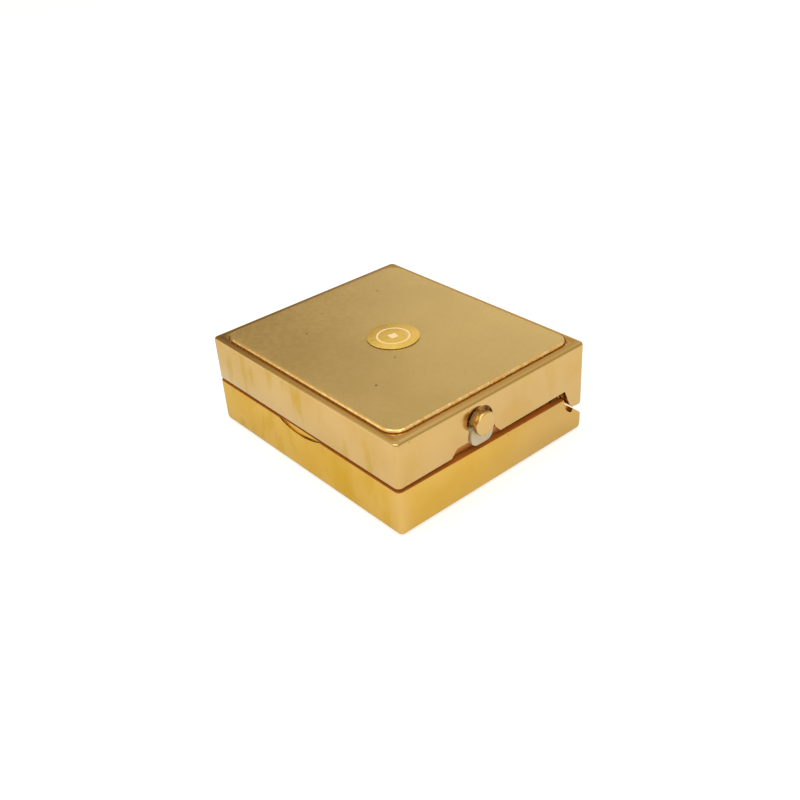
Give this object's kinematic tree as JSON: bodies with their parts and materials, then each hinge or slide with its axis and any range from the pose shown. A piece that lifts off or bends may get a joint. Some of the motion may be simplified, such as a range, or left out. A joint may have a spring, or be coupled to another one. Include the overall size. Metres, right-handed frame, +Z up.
{
  "type": "pill box",
  "caption": "Small rectangular gold metal pill box with a raised satin top plate, a rear hinge, a side push-button catch, a divided tray and a lid mirror.",
  "frame": {"origin": "centre of the underside of the closed box's shells", "axes": "+X towards the side with the push button, -Y towards the front with the thumbnail scoop, +Y towards the hinge, +Z up"},
  "size_m": [0.0514, 0.043, 0.0181],
  "materials": {
    "polished_gold": "polished gold plating on zinc",
    "satin_gold": "satin gold plating",
    "gold_foil": "gold foil sticker",
    "steel": "plain steel",
    "nylon": "translucent white nylon",
    "tray_plastic": "white styrene",
    "pad_foam": "foam tape",
    "mirror": "silvered glass"
  },
  "bodies": {
    "base": {"base_shell": "polished_gold", "base_rim": "polished_gold", "hinge_barrel": "polished_gold", "hinge_pin": "steel", "hinge_screw_1": "steel", "hinge_screw_2": "steel", "hinge_screw_3": "steel", "strike_plate": "steel", "strike_rivet_1": "steel", "strike_rivet_2": "steel", "pill_tray": "tray_plastic", "divider_long": "tray_plastic", "divider_cross_front": "tray_plastic", "divider_cross_back": "tray_plastic"},
    "lid": {"lid_shell": "polished_gold", "lid_plate": "satin_gold", "round_label": "gold_foil", "mirror_pad": "pad_foam", "mirror_glass": "mirror", "mirror_frame": "polished_gold", "latch_bracket": "steel", "bracket_screw_1": "steel", "bracket_screw_2": "steel"},
    "latch": {"latch_slider": "polished_gold", "latch_tongue": "nylon", "button_cap": "polished_gold", "latch_spring": "steel"}
  },
  "joints": [
    {"name": "lid_hinge", "type": "hinge", "parent": "base", "child": "lid", "pos_m": [0, 0.0199, 0.00775], "axis": [-1, 0, 0], "range_deg": [0, 108]},
    {"name": "button_press", "type": "slide", "parent": "lid", "child": "latch", "axis": [-1, 0, 0], "range_m": [0, 0.0008], "stiffness_N_per_m": 300, "springref_m": -0.001, "deforming": ["latch_spring"]}
  ]
}
